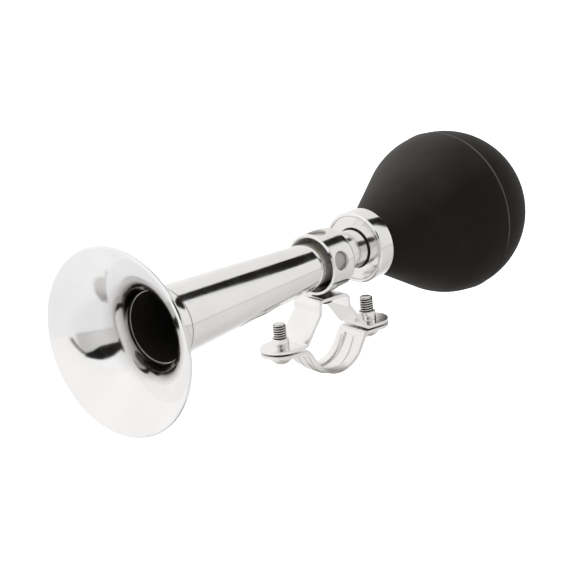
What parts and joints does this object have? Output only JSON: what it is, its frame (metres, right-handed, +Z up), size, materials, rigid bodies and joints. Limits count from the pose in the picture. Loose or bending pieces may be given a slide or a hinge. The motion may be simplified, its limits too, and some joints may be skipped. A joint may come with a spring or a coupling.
{
  "type": "bicycle horn",
  "caption": "Squeeze-bulb bicycle horn: flared metal bell on a tapered tube, black rubber bulb with reed, and a two-part handlebar clamp on a swivel.",
  "frame": {"origin": "centre of the handlebar clamp's bore, midway across the strap and between the ears", "axes": "+Y along the handlebar, +Z up from the clamp to the horn, -X towards the bell. The horn stands turned 10.5 degrees on its swivel, as in the picture."},
  "size_m": [0.2076, 0.094, 0.0735],
  "materials": {
    "bell_chrome": "polished chrome plate with fine wear",
    "tube_chrome": "polished chrome plate with fine drawn lines",
    "collar_chrome": "turned and plated",
    "ferrule_chrome": "turned and plated",
    "clamp_chrome": "pressed sheet, plated, slightly soft",
    "screw_steel": "bright plated screw with rolled thread",
    "rivet_steel": "plated rivet and washer",
    "reed_brass": "bare brass",
    "gasket_rubber": "matte black ring",
    "bulb_rubber": "matte black rubber with a parting line"
  },
  "bodies": {
    "bracket": {"clamp_bracket": "clamp_chrome"},
    "horn": {"bell_flare": "bell_chrome", "horn_tube": "tube_chrome", "collar": "collar_chrome", "neck_tube": "collar_chrome", "neck_gasket": "gasket_rubber", "ferrule_face": "ferrule_chrome", "ferrule_shell": "ferrule_chrome", "swivel_rivet": "rivet_steel", "swivel_washer": "rivet_steel", "reed_holder": "reed_brass", "reed_shallot": "reed_brass", "reed_wedge": "reed_brass"},
    "bulb": {"rubber_bulb": "bulb_rubber"},
    "reed": {"reed_tongue": "reed_brass"},
    "strap": {"lower_strap": "clamp_chrome"},
    "screw_front": {"clamp_screw_front": "screw_steel"},
    "screw_rear": {"clamp_screw_rear": "screw_steel"}
  },
  "joints": [
    {"name": "horn_swivel", "type": "hinge", "parent": "bracket", "child": "horn", "pos_m": [0, 0, 0.0155], "axis": [0, 0, 1], "range_deg": [-55.5, 34.5]},
    {"name": "bulb_squeeze", "type": "slide", "parent": "horn", "child": "bulb", "axis": [-0.9833, -0.1822, 0], "range_m": [0, 0.013], "stiffness_N_per_m": 900, "deforming": ["rubber_bulb"]},
    {"name": "reed_flex", "type": "hinge", "parent": "horn", "child": "reed", "pos_m": [0.01681, 0.00312, 0.0277], "axis": [-0.1822, 0.9833, 0], "range_deg": [-0.5, 1.5], "stiffness_Nm_per_rad": 0.001},
    {"name": "clamp_open", "type": "slide", "parent": "bracket", "child": "strap", "axis": [0, 0, -1], "range_m": [0, 0.006]},
    {"name": "screw_front_turn", "type": "hinge", "parent": "strap", "child": "screw_front", "pos_m": [-0.0199, 0, 0], "axis": [0, 0, -1], "range_deg": [0, 2710]},
    {"name": "screw_rear_turn", "type": "hinge", "parent": "strap", "child": "screw_rear", "pos_m": [0.0199, 0, 0], "axis": [0, 0, -1], "range_deg": [0, 2710]}
  ],
  "couplings": [
    {"joint": "screw_front_turn", "follows": "clamp_open", "rad_per_m": 7854},
    {"joint": "screw_rear_turn", "follows": "clamp_open", "rad_per_m": 7854}
  ]
}
